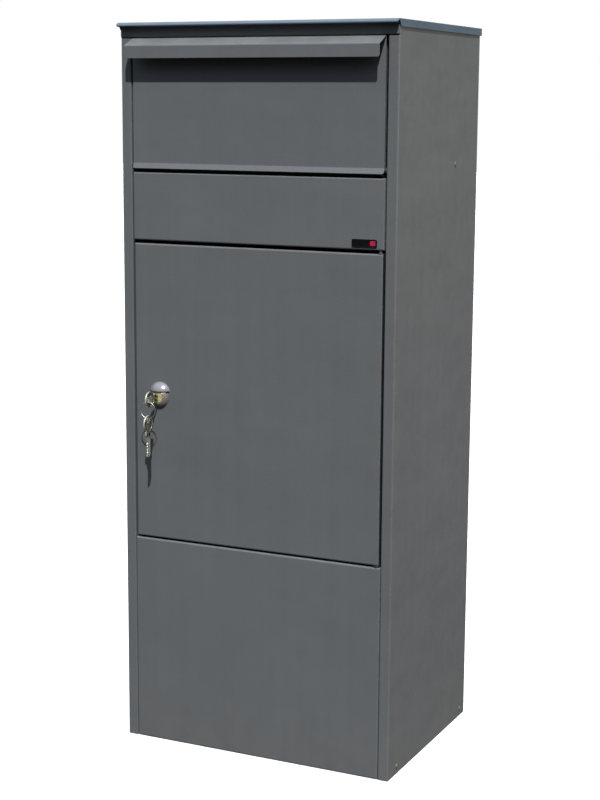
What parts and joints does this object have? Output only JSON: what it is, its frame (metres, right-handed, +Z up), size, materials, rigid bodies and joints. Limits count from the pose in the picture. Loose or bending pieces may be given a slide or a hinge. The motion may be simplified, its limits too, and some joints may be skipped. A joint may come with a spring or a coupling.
{
  "type": "parcel drop box",
  "caption": "Free-standing sheet-steel parcel drop box with a tilting hopper with folded handle, a key-locked side-hung door and a fixed plinth.",
  "frame": {"origin": "on the floor plane at the middle of the cabinet's footprint, centre of the floor-bolt pattern", "axes": "+Z up, -Y out of the front, +X to the right seen from the front"},
  "size_m": [0.4064, 0.3439, 1],
  "materials": {
    "cabinet_paint": "semi-matt grey powder coat, fine texture",
    "door_paint": "semi-matt grey powder coat, fine texture",
    "zinc_steel": "bright zinc plate",
    "lock_chrome": "polished nickel-chrome, lightly worn",
    "lock_brass": "turned brass, lightly tarnished",
    "key_nickel": "nickel-plated brass, worn yellow at the edges",
    "ring_steel": "nickel-plated spring steel wire",
    "rubber_black": "moulded black rubber",
    "nylon_black": "moulded nylon",
    "badge_plastic": "gloss black plate, no marking"
  },
  "bodies": {
    "cabinet": {"side_panel_left": "cabinet_paint", "side_panel_right": "cabinet_paint", "back_panel": "cabinet_paint", "base_plate": "cabinet_paint", "lid": "cabinet_paint", "top_rail": "cabinet_paint", "mid_panel": "cabinet_paint", "lower_panel": "cabinet_paint", "compartment_floor": "cabinet_paint", "shelf_brackets": "zinc_steel", "shelf_rivets": "zinc_steel", "anti_fishing_baffle": "cabinet_paint", "hopper_bushes": "nylon_black", "hopper_stop_pins": "cabinet_paint", "hopper_bumpers": "rubber_black", "hinge_pins": "zinc_steel", "strike_plate": "zinc_steel", "door_bumpers": "rubber_black", "badge": "badge_plastic", "base_rivets": "cabinet_paint", "back_rivets": "cabinet_paint", "lid_nuts": "zinc_steel"},
    "hopper": {"flap_panel": "cabinet_paint", "hopper_side_left": "cabinet_paint", "hopper_side_right": "cabinet_paint", "hopper_floor": "cabinet_paint", "hopper_pivot_pins": "zinc_steel", "hopper_rivets": "zinc_steel"},
    "door": {"door_panel": "door_paint", "door_stiffener": "door_paint", "hinge_bushes": "nylon_black", "lock_hood": "lock_chrome", "lock_body": "lock_chrome", "lock_nut": "zinc_steel"},
    "lock_cylinder": {"lock_plug": "lock_brass", "lock_cam": "zinc_steel", "cam_screw": "zinc_steel"},
    "lock_key": {"key": "key_nickel"},
    "ring": {"key_ring": "ring_steel"},
    "hanging_key": {"spare_key": "key_nickel"}
  },
  "joints": [
    {"name": "hopper_tilt", "type": "hinge", "parent": "cabinet", "child": "hopper", "pos_m": [0, -0.144, 0.812], "axis": [1, 0, 0], "range_deg": [0, 50]},
    {"name": "door_hinge", "type": "hinge", "parent": "cabinet", "child": "door", "pos_m": [0.179, -0.1445, 0.5], "axis": [0, 0, 1], "range_deg": [0, 110]},
    {"name": "lock_turn", "type": "hinge", "parent": "door", "child": "lock_cylinder", "pos_m": [-0.1456, -0.14, 0.4966], "axis": [0, -1, 0], "range_deg": [0, 90]},
    {"name": "key_slide", "type": "slide", "parent": "lock_cylinder", "child": "lock_key", "axis": [0, -1, 0], "range_m": [0, 0.03]},
    {"name": "ring_swing", "type": "hinge", "parent": "lock_key", "child": "ring", "pos_m": [-0.1456, -0.182, 0.4966], "axis": [1, 0, 0], "range_deg": [-60, 10]},
    {"name": "spare_key_swing", "type": "hinge", "parent": "ring", "child": "hanging_key", "pos_m": [-0.1456, -0.182, 0.4688], "axis": [1, 0, 0], "range_deg": [-60, 10]}
  ]
}
